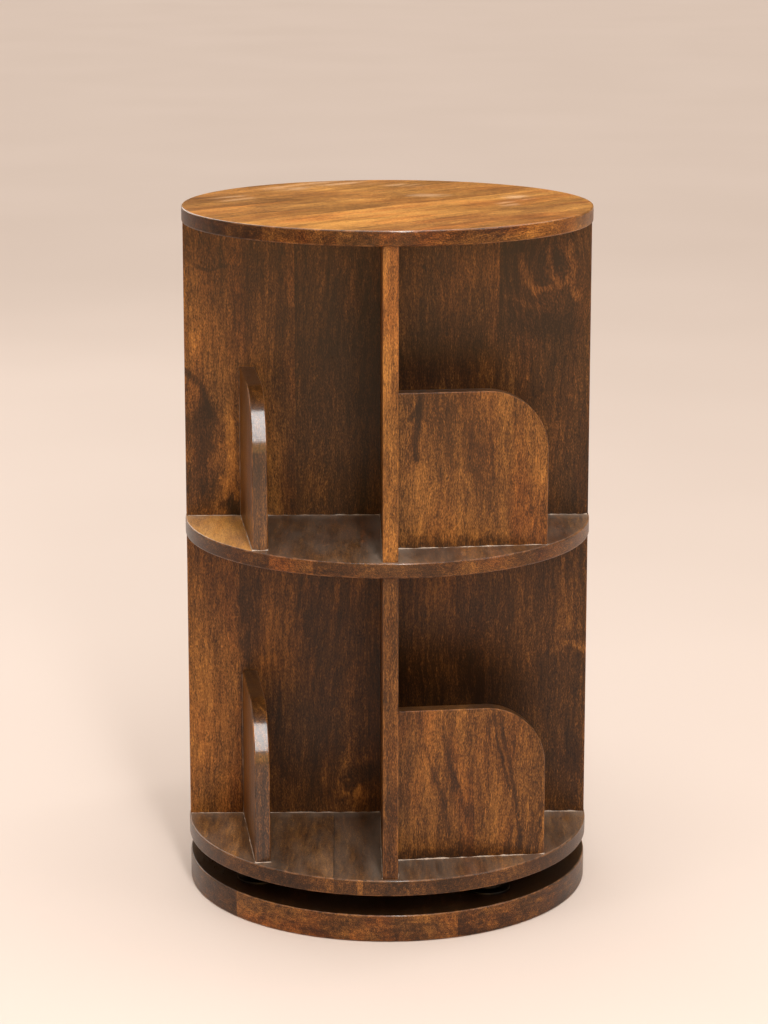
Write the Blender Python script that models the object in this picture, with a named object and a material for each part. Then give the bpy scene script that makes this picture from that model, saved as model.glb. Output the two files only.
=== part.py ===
"""Round revolving bookcase: a two-storey case of stained boards that turns on a base disc.

Metres, +Z up. The origin lies on the turning axis, where the base meets the floor, and the front
divider faces -Y. Three discs carry two storeys. In each storey a full-width cross panel and two
half-depth dividers make four quarters, and each quarter has a low, slightly splayed book stop.
The four stops follow each other round the axis like the vanes of a pinwheel. Below the case, four
ball rollers on the base carry the bottom shelf, and a pivot bolt keeps the two discs together.
"""

import math
from collections import namedtuple

import bmesh
import bpy
from mathutils import Vector

# Boards
CASE_RADIUS = 0.205
BASE_RADIUS = 0.204
TOP_THICKNESS = 0.015
SHELF_THICKNESS = 0.015
FLOOR_THICKNESS = 0.016
BASE_THICKNESS = 0.027
PANEL_THICKNESS = 0.015
STOREY_HEIGHT = 0.302
CROSS_SETBACK = 0.001
DIVIDER_SETBACK = 0.004

# Book stops
STOP_HEIGHT = 0.153
STOP_INSET = 0.056
STOP_SPLAY = math.radians(6.5)
STOP_CORNER_RADIUS = 0.060
STOP_RIM_SETBACK = 0.002

# Dowels
DOWEL_RADIUS = 0.004
DOWEL_BOARD_DEPTH = 0.010
DOWEL_PANEL_DEPTH = 0.020
DOWEL_END_SPACE = 0.001
CROSS_DOWEL_INSET = 0.070
DIVIDER_DOWEL_INSET = 0.095

# Ball rollers
BALL_RADIUS = 0.008
CUP_FLOOR = 0.0031
CUP_RADIUS = 0.013
CUP_EDGE = 0.0015
LIP_RISE = 0.0029
FLANGE_RADIUS = 0.023
FLANGE_THICKNESS = 0.0025
FLANGE_EDGE = 0.001
ROLLER_EDGE_INSET = 0.042
ROLLER_ANGLE = math.radians(-53)
ROLLER_SCREW_OFFSET = 0.0178
SCREW_RADIUS = 0.0019
SCREW_LENGTH = 0.014
SCREW_TIP = 0.004
SCREW_HEAD_RADIUS = 0.0034
SCREW_HEAD_HEIGHT = 0.0022

# Pivot
BOLT_RADIUS = 0.005
BOLT_HEAD_WIDTH = 0.016
BOLT_HEAD_HEIGHT = 0.0064
BOLT_END_SPACE = 0.001
HEAD_RECESS_DEPTH = 0.010
HEAD_RECESS_RADIUS = 0.012
HEAD_WASHER_RADIUS = 0.010
HEAD_WASHER_THICKNESS = 0.002
BASE_NUT_HEIGHT = 0.008
BUSH_RADIUS = 0.007
BUSH_FLANGE_RADIUS = 0.012
BUSH_FLANGE_THICKNESS = 0.0025
NUT_RECESS_DEPTH = 0.009
NUT_RECESS_RADIUS = 0.0103
LOCK_WASHER_RADIUS = 0.0097
LOCK_WASHER_THICKNESS = 0.0015
LOCK_NUT_HEIGHT = 0.005

# Clearances, eased edges and the number of flats on round pieces
FIT = 0.0003
RUNNING_FIT = 0.0001
DISC_EASE = 0.0014
PANEL_EASE = 0.0008
DOWEL_EASE = 0.0006
CUT_OVERRUN = 0.002
DISC_SIDES = 96
ROUND_SIDES = 20
SMALL_SIDES = 10
STOP_ARC_STEPS = 10
CUP_ARC_STEPS = 6
QUARTERS = 4
QUARTER_TURN = math.radians(90)
SHARP_ANGLE = math.radians(35)

# The balls span the swivel gap between the base and the bottom shelf
SWIVEL_GAP = CUP_FLOOR + 2 * BALL_RADIUS + 3 * FIT
BASE_TOP = BASE_THICKNESS
FLOOR_BOTTOM = BASE_TOP + SWIVEL_GAP
FLOOR_TOP = FLOOR_BOTTOM + FLOOR_THICKNESS
SHELF_BOTTOM = FLOOR_TOP + STOREY_HEIGHT
SHELF_TOP = SHELF_BOTTOM + SHELF_THICKNESS
LID_BOTTOM = SHELF_TOP + STOREY_HEIGHT
LID_TOP = LID_BOTTOM + TOP_THICKNESS
STOREYS = {"lower": FLOOR_TOP, "upper": SHELF_TOP}
QUARTER_NAMES = ("front_right", "rear_right", "rear_left", "front_left")
PANEL_FACE = PANEL_THICKNESS / 2
STOP_OFFSET = CASE_RADIUS - STOP_INSET

Hole = namedtuple("Hole", "x y low high radius")


def linear(channel):
    """One sRGB channel, from 0 to 255, as scene-linear light."""
    share = channel / 255
    return share / 12.92 if share <= 0.04045 else ((share + 0.055) / 1.055) ** 2.4


def finish(name, red, green, blue, roughness, metallic=0.0):
    material = bpy.data.materials.new(name)
    material.use_nodes = True
    shader = material.node_tree.nodes["Principled BSDF"]
    shader.inputs["Base Color"].default_value = (linear(red), linear(green), linear(blue), 1)
    shader.inputs["Roughness"].default_value = roughness
    shader.inputs["Metallic"].default_value = metallic
    return material


def axis_empty(name):
    """A plain axis on the turning axis that carries the pieces of one moving group."""
    empty = bpy.data.objects.new(name, None)
    bpy.context.scene.collection.objects.link(empty)
    return empty


def piece(name, shape, material, parent, location=(0, 0, 0), turn=0.0):
    """Makes a named object from a bmesh, which it frees."""
    mesh = bpy.data.meshes.new(name)
    shape.to_mesh(mesh)
    shape.free()
    mesh.shade_smooth()
    mesh.set_sharp_from_angle(angle=SHARP_ANGLE)
    if material:
        mesh.materials.append(material)
    obj = bpy.data.objects.new(name, mesh)
    obj.location = location
    obj.rotation_euler.z = turn
    obj.parent = parent
    bpy.context.scene.collection.objects.link(obj)
    return obj


def ease(obj, width):
    """Takes the sharp edges off a board or a dowel."""
    bevel = obj.modifiers.new("eased_edges", "BEVEL")
    bevel.width = width
    bevel.segments = 1
    bevel.limit_method = "ANGLE"
    bevel.angle_limit = SHARP_ANGLE
    return obj


def add_cylinder(shape, hole, sides):
    """Adds a closed cylinder that fills the hole to a bmesh."""
    made = bmesh.ops.create_cone(
        shape, cap_ends=True, segments=sides, radius1=hole.radius, radius2=hole.radius,
        depth=hole.high - hole.low,
    )
    middle = Vector((hole.x, hole.y, (hole.low + hole.high) / 2))
    bmesh.ops.translate(shape, verts=made["verts"], vec=middle)


def drill(obj, holes, sides=SMALL_SIDES):
    """Cuts round holes, given in world coordinates, out of an object."""
    shape = bmesh.new()
    for hole in holes:
        add_cylinder(shape, hole, sides)
    cutter = piece(f"{obj.name}_cutter_{len(obj.modifiers)}", shape, None, None)
    cutter.hide_render = True
    cutter.display_type = "WIRE"
    boolean = obj.modifiers.new("holes", "BOOLEAN")
    boolean.operation = "DIFFERENCE"
    boolean.object = cutter


def turned(name, profile, closed, material, parent, location, sides=ROUND_SIDES):
    """Spins a profile of (radius, height) points about Z. A closed profile makes a ring."""
    shape = bmesh.new()
    points = [shape.verts.new((radius, 0, height)) for radius, height in profile]
    edges = [shape.edges.new(pair) for pair in zip(points, points[1:])]
    if closed:
        edges.append(shape.edges.new((points[-1], points[0])))
    bmesh.ops.spin(
        shape, geom=points + edges, cent=(0, 0, 0), axis=(0, 0, 1), dvec=(0, 0, 0),
        angle=math.tau, steps=sides, use_merge=True,
    )
    bmesh.ops.remove_doubles(shape, verts=shape.verts[:], dist=1e-6)
    bmesh.ops.recalc_face_normals(shape, faces=shape.faces[:])
    return piece(name, shape, material, parent, location)


def ring(name, inner, outer, height, material, parent, low):
    """A flat washer on the turning axis."""
    profile = [(inner, 0), (inner, height), (outer, height), (outer, 0)]
    return turned(name, profile, True, material, parent, (0, 0, low))


def hexagon(name, width, height, material, parent, low):
    """A hexagonal prism on the turning axis, width across its flats."""
    shape = bmesh.new()
    corner = width / math.sqrt(3)
    add_cylinder(shape, Hole(0, 0, 0, height, corner), 6)
    return piece(name, shape, material, parent, (0, 0, low))


def disc(name, radius, low, thickness, material, parent):
    shape = bmesh.new()
    add_cylinder(shape, Hole(0, 0, 0, thickness, radius), DISC_SIDES)
    return ease(piece(name, shape, material, parent, (0, 0, low)), DISC_EASE)


def board(name, size, middle, material, parent):
    """An upright rectangular board with its middle at a point."""
    shape = bmesh.new()
    bmesh.ops.create_cube(shape, size=1)
    bmesh.ops.scale(shape, verts=shape.verts[:], vec=size)
    return ease(piece(name, shape, material, parent, middle), PANEL_EASE)


def turned_point(x, y, angle):
    """A plan point turned about the axis."""
    return (
        x * math.cos(angle) - y * math.sin(angle),
        x * math.sin(angle) + y * math.cos(angle),
    )


def stop_length():
    """Length of a stop's outer face, from the panel that it meets to its corner inside the rim."""
    reach = CASE_RADIUS - STOP_RIM_SETBACK
    along = PANEL_FACE * math.cos(STOP_SPLAY) - STOP_OFFSET * math.sin(STOP_SPLAY)
    start_squared = PANEL_FACE**2 + STOP_OFFSET**2
    return math.sqrt(along**2 - start_squared + reach**2) - along


def stop_outline():
    """Side view of a stop, (distance from the panel, height), with its round outer corner."""
    length = stop_length()
    start = -PANEL_THICKNESS * abs(math.tan(STOP_SPLAY))
    outline = [(start, 0), (length, 0)]
    for step in range(STOP_ARC_STEPS + 1):
        angle = QUARTER_TURN * step / STOP_ARC_STEPS
        outline.append((
            length - STOP_CORNER_RADIUS * (1 - math.cos(angle)),
            STOP_HEIGHT - STOP_CORNER_RADIUS * (1 - math.sin(angle)),
        ))
    outline.append((start, STOP_HEIGHT))
    return outline


def book_stop(name, quarter, level, material, parent):
    """A low board that leaves its panel at the splay angle. Its inner end is cut to the panel's face."""
    shape = bmesh.new()
    face = shape.faces.new([shape.verts.new((x, 0, z)) for x, z in stop_outline()])
    grown = bmesh.ops.extrude_face_region(shape, geom=[face])
    moved = [item for item in grown["geom"] if isinstance(item, bmesh.types.BMVert)]
    bmesh.ops.translate(shape, verts=moved, vec=(0, PANEL_THICKNESS, 0))
    bmesh.ops.bisect_plane(
        shape, geom=shape.verts[:] + shape.edges[:] + shape.faces[:], clear_outer=True,
        plane_co=(FIT / math.cos(STOP_SPLAY), 0, 0),
        plane_no=(-math.cos(STOP_SPLAY), math.sin(STOP_SPLAY), 0),
    )
    bmesh.ops.holes_fill(shape, edges=[edge for edge in shape.edges if edge.is_boundary])
    bmesh.ops.recalc_face_normals(shape, faces=shape.faces[:])
    turn = quarter * QUARTER_TURN
    x, y = turned_point(PANEL_FACE, -STOP_OFFSET, turn)
    stop = piece(name, shape, material, parent, (x, y, level + FIT), turn + STOP_SPLAY)
    return ease(stop, PANEL_EASE)


def stop_dowel_place(quarter):
    """Plan point under the middle of a stop."""
    x, y = turned_point(stop_length() / 2, PANEL_THICKNESS / 2, STOP_SPLAY)
    return turned_point(x + PANEL_FACE, y - STOP_OFFSET, quarter * QUARTER_TURN)


def dowel_holes():
    """Every dowel's name and the hole that it fills, which runs into both pieces that it joins."""
    cross = CASE_RADIUS - CROSS_DOWEL_INSET
    divider = CASE_RADIUS - DIVIDER_DOWEL_INSET
    places = {
        "left": (-cross, 0), "right": (cross, 0), "front": (0, -divider), "rear": (0, divider),
    }
    spans = {
        "floor": (FLOOR_TOP - DOWEL_BOARD_DEPTH, FLOOR_TOP + DOWEL_PANEL_DEPTH),
        "shelf": (SHELF_BOTTOM - DOWEL_PANEL_DEPTH, SHELF_TOP + DOWEL_PANEL_DEPTH),
        "top": (LID_BOTTOM - DOWEL_PANEL_DEPTH, LID_BOTTOM + DOWEL_BOARD_DEPTH),
    }
    holes = {}
    for board_name, (low, high) in spans.items():
        for side, (x, y) in places.items():
            holes[f"dowel_{board_name}_{side}"] = Hole(x, y, low, high, DOWEL_RADIUS + FIT)
    for storey, level in STOREYS.items():
        for quarter, quarter_name in enumerate(QUARTER_NAMES):
            x, y = stop_dowel_place(quarter)
            low, high = level - DOWEL_BOARD_DEPTH, level + DOWEL_PANEL_DEPTH
            name = f"dowel_{storey}_stop_{quarter_name}"
            holes[name] = Hole(x, y, low, high, DOWEL_RADIUS + FIT)
    return holes


def pick(holes, *words):
    """The holes of the dowels whose names hold every one of the words."""
    return [hole for name, hole in holes.items() if all(word in name for word in words)]


def make_dowels(holes, material, parent):
    for name, hole in holes.items():
        length = hole.high - hole.low - 2 * DOWEL_END_SPACE
        shape = bmesh.new()
        add_cylinder(shape, Hole(0, 0, 0, length, DOWEL_RADIUS), SMALL_SIDES)
        foot = (hole.x, hole.y, hole.low + DOWEL_END_SPACE)
        ease(piece(name, shape, material, parent, foot), DOWEL_EASE)


def make_case_discs(holes, material, parent):
    top = disc("top_disc", CASE_RADIUS, LID_BOTTOM, TOP_THICKNESS, material, parent)
    drill(top, pick(holes, "dowel_top"))
    shelf = disc("middle_shelf", CASE_RADIUS, SHELF_BOTTOM, SHELF_THICKNESS, material, parent)
    drill(shelf, pick(holes, "dowel_shelf") + pick(holes, "upper_stop"))
    floor = disc("bottom_shelf", CASE_RADIUS, FLOOR_BOTTOM, FLOOR_THICKNESS, material, parent)
    drill(floor, pick(holes, "dowel_floor") + pick(holes, "lower_stop"))
    above, below = FLOOR_TOP + CUT_OVERRUN, FLOOR_BOTTOM - CUT_OVERRUN
    drill(floor, [Hole(0, 0, below, above, BUSH_RADIUS + FIT)], ROUND_SIDES)
    recess_floor = FLOOR_TOP - NUT_RECESS_DEPTH
    drill(floor, [Hole(0, 0, recess_floor, above, NUT_RECESS_RADIUS)], ROUND_SIDES)


def make_storey(storey, level, holes, material, parent):
    """The cross panel, the two dividers and the four stops that stand on one shelf."""
    height = STOREY_HEIGHT - 2 * FIT
    middle_height = level + STOREY_HEIGHT / 2
    width = 2 * (CASE_RADIUS - CROSS_SETBACK)
    joints = ("dowel_floor", "dowel_shelf") if storey == "lower" else ("dowel_shelf", "dowel_top")
    cross = board(
        f"{storey}_cross_panel", (width, PANEL_THICKNESS, height), (0, 0, middle_height), material, parent,
    )
    drill(cross, [h for j in joints for side in ("left", "right") for h in pick(holes, j, side)])
    inner = PANEL_FACE + FIT
    outer = CASE_RADIUS - DIVIDER_SETBACK
    for side, sign in (("front", -1), ("rear", 1)):
        divider = board(
            f"{storey}_{side}_divider", (PANEL_THICKNESS, outer - inner, height),
            (0, sign * (inner + outer) / 2, middle_height), material, parent,
        )
        drill(divider, [h for j in joints for h in pick(holes, j, side)])
    for quarter, quarter_name in enumerate(QUARTER_NAMES):
        stop = book_stop(f"{storey}_stop_{quarter_name}", quarter, level, material, parent)
        drill(stop, pick(holes, f"{storey}_stop_{quarter_name}"))


def cup_profile():
    """Section of a roller housing: a ball socket whose lip keeps the ball in, on a screw flange."""
    socket = BALL_RADIUS + FIT
    centre = CUP_FLOOR + socket
    lip_angle = math.asin(LIP_RISE / socket)
    profile = []
    for step in range(CUP_ARC_STEPS + 1):
        angle = -QUARTER_TURN + (lip_angle + QUARTER_TURN) * step / CUP_ARC_STEPS
        profile.append((socket * math.cos(angle), centre + socket * math.sin(angle)))
    profile[0] = (0, CUP_FLOOR)
    lip = centre + LIP_RISE
    profile += [
        (CUP_RADIUS - CUP_EDGE, lip),
        (CUP_RADIUS, lip - CUP_EDGE),
        (CUP_RADIUS, FLANGE_THICKNESS),
        (FLANGE_RADIUS - FLANGE_EDGE, FLANGE_THICKNESS),
        (FLANGE_RADIUS, FLANGE_THICKNESS - FLANGE_EDGE),
        (FLANGE_RADIUS, 0),
        (0, 0),
    ]
    return profile


def screw_profile():
    """Section of a round-headed wood screw, whose head rests on height zero."""
    return [
        (0, SCREW_HEAD_HEIGHT),
        (SCREW_HEAD_RADIUS * 0.7, SCREW_HEAD_HEIGHT * 0.8),
        (SCREW_HEAD_RADIUS, 0),
        (SCREW_RADIUS, 0),
        (SCREW_RADIUS, SCREW_TIP - SCREW_LENGTH),
        (0, -SCREW_LENGTH),
    ]


def make_rollers(base_disc, steel, ball_steel, base_axis):
    """Four ball rollers in a ring on the base, each held by two screws."""
    ring_radius = BASE_RADIUS - ROLLER_EDGE_INSET
    seat = BASE_TOP + FIT
    ball_height = FLOOR_BOTTOM - FIT - BALL_RADIUS
    screw_seat = seat + FLANGE_THICKNESS + FIT
    for number in range(QUARTERS):
        angle = ROLLER_ANGLE + number * QUARTER_TURN
        x, y = turned_point(ring_radius, 0, angle)
        name = f"roller_{number + 1}"
        housing = turned(f"{name}_housing", cup_profile(), False, steel, base_axis, (x, y, seat))
        screw_holes = []
        for side, sign in (("a", 1), ("b", -1)):
            screw_x, screw_y = turned_point(ring_radius, sign * ROLLER_SCREW_OFFSET, angle)
            low, high = screw_seat - SCREW_LENGTH - FIT, screw_seat + CUT_OVERRUN
            screw_holes.append(Hole(screw_x, screw_y, low, high, SCREW_RADIUS + FIT))
            turned(
                f"{name}_screw_{side}", screw_profile(), False, steel, base_axis,
                (screw_x, screw_y, screw_seat), SMALL_SIDES,
            )
        drill(housing, screw_holes)
        drill(base_disc, screw_holes)
        shape = bmesh.new()
        bmesh.ops.create_uvsphere(shape, u_segments=ROUND_SIDES, v_segments=SMALL_SIDES, radius=BALL_RADIUS)
        piece(f"{name}_ball", shape, ball_steel, base_axis, (x, y, ball_height), angle)


def make_base(material, parent):
    base = disc("base_disc", BASE_RADIUS, 0, BASE_THICKNESS, material, parent)
    drill(base, [Hole(0, 0, -CUT_OVERRUN, HEAD_RECESS_DEPTH, HEAD_RECESS_RADIUS)], ROUND_SIDES)
    through = Hole(0, 0, -CUT_OVERRUN, BASE_TOP + CUT_OVERRUN, BOLT_RADIUS + FIT)
    drill(base, [through], ROUND_SIDES)
    return base


def make_pivot(steel, nylon, base_axis, case_axis):
    """The pivot bolt, clamped to the base, and the bush that turns on it with the bottom shelf."""
    bore = BOLT_RADIUS + FIT
    washer_low = HEAD_RECESS_DEPTH - FIT - HEAD_WASHER_THICKNESS
    ring("pivot_head_washer", bore, HEAD_WASHER_RADIUS, HEAD_WASHER_THICKNESS, steel, base_axis, washer_low)
    head_low = washer_low - FIT - BOLT_HEAD_HEIGHT
    bolt_top = FLOOR_TOP - BOLT_END_SPACE
    bolt = hexagon("pivot_bolt", BOLT_HEAD_WIDTH, BOLT_HEAD_HEIGHT, steel, base_axis, head_low)
    shank_shape = bmesh.new()
    shank_foot = head_low + BOLT_HEAD_HEIGHT / 2
    add_cylinder(shank_shape, Hole(0, 0, shank_foot, bolt_top, BOLT_RADIUS), ROUND_SIDES)
    shank = piece("pivot_bolt_shank", shank_shape, None, None)
    shank.hide_render = True
    shank.display_type = "WIRE"
    union = bolt.modifiers.new("shank", "BOOLEAN")
    union.operation = "UNION"
    union.object = shank
    axis_hole = [Hole(0, 0, 0, LID_TOP, bore)]
    base_nut = hexagon("pivot_base_nut", BOLT_HEAD_WIDTH, BASE_NUT_HEIGHT, steel, base_axis, BASE_TOP + FIT)
    drill(base_nut, axis_hole, ROUND_SIDES)
    recess_floor = FLOOR_TOP - NUT_RECESS_DEPTH
    flange_low = FLOOR_BOTTOM - FIT - BUSH_FLANGE_THICKNESS
    flange_top = BUSH_FLANGE_THICKNESS
    sleeve_top = recess_floor - flange_low
    bush_bore = BOLT_RADIUS + RUNNING_FIT
    bush_profile = [
        (bush_bore, 0),
        (bush_bore, sleeve_top),
        (BUSH_RADIUS, sleeve_top),
        (BUSH_RADIUS, flange_top),
        (BUSH_FLANGE_RADIUS, flange_top),
        (BUSH_FLANGE_RADIUS, 0),
    ]
    turned("pivot_bush", bush_profile, True, nylon, case_axis, (0, 0, flange_low))
    washer_low = recess_floor + FIT
    ring("pivot_lock_washer", bore, LOCK_WASHER_RADIUS, LOCK_WASHER_THICKNESS, steel, base_axis, washer_low)
    nut_low = washer_low + LOCK_WASHER_THICKNESS + FIT
    lock_nut = hexagon("pivot_lock_nut", BOLT_HEAD_WIDTH, LOCK_NUT_HEIGHT, steel, base_axis, nut_low)
    drill(lock_nut, axis_hole, ROUND_SIDES)


def main():
    for old in list(bpy.data.objects):
        bpy.data.objects.remove(old)
    stained_wood = finish("stained_wood", 118, 74, 43, 0.42)
    dowel_wood = finish("dowel_wood", 205, 170, 124, 0.7)
    zinc_steel = finish("zinc_steel", 168, 168, 166, 0.38, 1.0)
    ball_steel = finish("ball_steel", 205, 206, 208, 0.15, 1.0)
    nylon = finish("nylon", 226, 222, 208, 0.5)
    base_axis = axis_empty("base_axis")
    case_axis = axis_empty("case_axis")
    holes = dowel_holes()
    base = make_base(stained_wood, base_axis)
    make_rollers(base, zinc_steel, ball_steel, base_axis)
    make_pivot(zinc_steel, nylon, base_axis, case_axis)
    make_case_discs(holes, stained_wood, case_axis)
    for storey, level in STOREYS.items():
        make_storey(storey, level, holes, stained_wood, case_axis)
    make_dowels(holes, dowel_wood, case_axis)


main()
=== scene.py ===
"""Dresses the revolving bookcase: boards of glued staves, wax in the joints, rollers and a stage.

Metres, +Z up. The turning axis is Z, and the front dividers' edges face -Y.
"""

import math
import random

import bmesh
import bpy
from bpy.props import FloatProperty, FloatVectorProperty, PointerProperty
from mathutils import Matrix, Vector


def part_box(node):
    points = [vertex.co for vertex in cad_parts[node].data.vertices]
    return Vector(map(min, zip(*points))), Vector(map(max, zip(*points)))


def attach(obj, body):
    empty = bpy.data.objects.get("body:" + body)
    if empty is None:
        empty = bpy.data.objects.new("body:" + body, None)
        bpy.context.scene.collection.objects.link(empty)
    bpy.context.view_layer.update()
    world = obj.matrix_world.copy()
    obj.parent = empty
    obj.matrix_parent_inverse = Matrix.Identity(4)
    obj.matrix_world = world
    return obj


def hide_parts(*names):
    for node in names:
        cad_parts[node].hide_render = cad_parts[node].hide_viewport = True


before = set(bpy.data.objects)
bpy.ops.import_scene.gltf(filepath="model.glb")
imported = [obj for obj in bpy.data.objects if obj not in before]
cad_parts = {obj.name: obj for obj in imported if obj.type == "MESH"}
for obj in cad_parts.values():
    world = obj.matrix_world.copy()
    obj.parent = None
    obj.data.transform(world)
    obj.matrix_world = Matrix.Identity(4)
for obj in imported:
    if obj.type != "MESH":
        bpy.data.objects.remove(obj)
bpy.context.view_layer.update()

bl_info = {
    "name": "Revolving Bookcase",
    "version": (1, 0, 0),
    "blender": (4, 5, 0),
    "location": "View3D > Sidebar > Bookcase",
    "description": "Builds the finished boards, rollers and stage of a round revolving bookcase",
    "category": "Object",
}

SHELVES = {"lower": "bottom_shelf", "upper": "middle_shelf"}
QUARTERS = ("front_right", "rear_right", "rear_left", "front_left")
UP = Vector((0, 0, 1))
SHARP_ANGLE = math.radians(40)
EDGE_MARGIN = 0.001
FLOOR_DROP = 0.0003
LAMP_WHITE = (1, 0.98, 0.96)

# Steps round curves
RIM_STEPS = 240
ARC_STEPS = 28
EASE_STEPS = 4
HOUSING_STEPS = 64
BALL_STEPS = 48
SCREW_STEPS = 24

# Wood: what a finish reads from each face, and the numbers that decide the staves' grain
FACE_NOTES = ("stave", "tone", "warmth", "edge", "seam", "gloss")
FIRST_STAVE = {"top": 1, "middle": 11, "bottom": 21, "base": 31, "panel": 41, "divider": 61, "stop": 81}
TOP_BEARING = math.radians(41)
SHELF_BEARING = math.radians(90)
MIDDLE_DEPTH = 0.46
RING_RATE = 900.0
KNOT_RING_RATE = 13.0

# Wax: length of a step along a bead, and widths as shares of the widest bead
WAX_STEP = 0.006
WAX_MEAN, WAX_DEVIATION = 0.38, 0.34
WAX_LEAST, WAX_MOST = 0.08, 1.2
UPRIGHT_WAX_SHARE = 0.35
UPRIGHT_WAX_DROP = 0.004

# Rollers and their screws
SOCKET_CLEARANCE = 0.0003
CUP_RADIUS = 0.013
LIP_ROLL = 0.0013
FLANGE_THICKNESS = 0.0025
FLANGE_EASING = 0.001
SHANK_RADIUS = 0.0019
POINT_LENGTH = 0.004
HEAD_RISE = 0.0022
SLOT_HALF_WIDTH = 0.0003
SLOT_DEPTH = 0.0008


def srgb(red, green, blue):
    """A colour given in 8-bit sRGB, as the linear values that shaders take."""
    def lift(channel):
        share = channel / 255
        return share / 12.92 if share <= 0.04045 else ((share + 0.055) / 1.055) ** 2.4
    return tuple(lift(channel) for channel in (red, green, blue))


def colour_property(name, description, red, green, blue):
    return FloatVectorProperty(
        name=name, description=description, default=srgb(red, green, blue), size=3, min=0, max=1,
        subtype="COLOR",
    )


def length_property(name, description, default):
    return FloatProperty(name=name, description=description, default=default, min=0, unit="LENGTH")


def angle_property(name, description, degrees):
    angle = math.radians(degrees)
    return FloatProperty(name=name, description=description, default=angle, unit="ROTATION")


def power_property(name, description, default):
    return FloatProperty(name=name, description=description, default=default, min=0, unit="POWER")


class BOOKCASE_PG_boards(bpy.types.PropertyGroup):
    """Sizes of the boards that the case is made of."""

    rim_easing: length_property("Rim easing", "Rounding of the discs' edges", 0.0014)
    edge_easing: length_property("Edge easing", "Rounding of the panels' free edges", 0.0011)
    bedding: length_property("Bedding", "How far an upright is let into the disc that it meets", 0.0006)
    seam_width: length_property("Seam width", "Width of an open glue seam", 0.0010)
    seam_depth: length_property("Seam depth", "Depth of an open glue seam", 0.0005)
    stop_inset: length_property("Stop inset", "From the rim to a stop's face, at its panel", 0.056)
    stop_corner: length_property("Stop corner", "Radius of a stop's round corner", 0.060)
    stop_setback: length_property("Stop setback", "From a stop's outer corner to the rim", 0.002)
    stop_splay: angle_property("Stop splay", "Angle between a stop and the panel behind it", 6.5)
    wax_width: length_property("Wax width", "Widest bead of wax left in a joint", 0.0011)


class BOOKCASE_PG_finishes(bpy.types.PropertyGroup):
    """Colours of the wood stain, the wax and the metal."""

    stain_dark: colour_property("Dark stain", "Stain where it has soaked in deepest", 32, 18, 7)
    stain_deep: colour_property("Deep stain", "Stain in the darker grain", 71, 43, 18)
    stain_body: colour_property("Body stain", "Stain over most of the wood", 117, 77, 34)
    stain_light: colour_property("Light stain", "Stain in the paler grain", 162, 111, 51)
    stain_gold: colour_property("Golden stain", "Stain in the palest grain", 206, 149, 73)
    stain_ember: colour_property("Ember stain", "Orange tint of warm staves", 182, 114, 42)
    soaked_tint: colour_property("Soaked tint", "Tint where stain has pooled", 150, 118, 108)
    # Paler wood on eased edges: wear, and a painted highlight along the edges.
    worn_edge_and_highlight: colour_property("Worn edge", "Wood that shows through on eased edges", 176, 122, 76)
    # The wax colour also paints the greyish sheen over the shelves.
    wax: colour_property("Wax", "Dried wax and polish in the joints", 156, 142, 128)
    # The smear colour is pale polish, and also paints glare on the top.
    smear_and_glare: colour_property("Smear", "Pale polish rubbed out on the top", 206, 172, 136)
    steel: colour_property("Burnished steel", "Roller housings, screws and the pivot", 40, 39, 38)
    ball: colour_property("Ball steel", "Polished roller balls", 205, 206, 208)
    dowel: colour_property("Dowel wood", "Beech dowels", 205, 170, 124)
    nylon: colour_property("Nylon", "The pivot's bush", 226, 222, 208)


class BOOKCASE_PG_stage(bpy.types.PropertyGroup):
    """The floor, the studio light and the camera."""

    floor_colour: colour_property("Floor", "Plain floor", 209, 196, 187)
    horizon_colour: colour_property("Horizon", "Studio light near the horizon", 132, 92, 50)
    zenith_colour: colour_property("Zenith", "Studio light overhead", 255, 250, 244)
    sky_strength: FloatProperty(
        name="Room light", description="Strength of the light from all round", default=1.5, min=0,
    )
    front_power: power_property("Front", "Slanted strip light", 31)
    warm_power: power_property("Warm", "Low warm light at the front", 12)
    side_power: power_property("Side", "Soft box at the right", 10)
    rear_power: power_property("Rear", "Soft box behind", 15)
    ceiling_power: power_property("Ceiling", "Strip overhead", 8)
    camera_distance: length_property("Camera distance", "From the axis, along the floor", 2.752)
    camera_height: length_property("Camera height", "Above the floor", 1.038)
    camera_bearing: angle_property("Camera bearing", "Place round the axis, from the front", -0.90)
    camera_heading: angle_property("Camera heading", "Direction that the camera looks in, from +Y", -0.83)
    camera_pitch: angle_property("Camera pitch", "How far the camera looks down", 11.31)
    camera_lens: FloatProperty(name="Lens", description="Focal length, millimetres", default=97.6, min=1)
    camera_rise: FloatProperty(name="Rise", description="Vertical shift of the lens", default=-0.1)


def fill_ramp(ramp, stops):
    """Sets a colour ramp's stops, each (position, colour), in rising order."""
    ramp.elements.remove(ramp.elements[1])
    ramp.elements[0].position = stops[0][0]
    for position, colour in stops[1:]:
        ramp.elements.new(position)
    for element, (position, colour) in zip(ramp.elements, stops):
        element.color = (*colour, 1)


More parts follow.
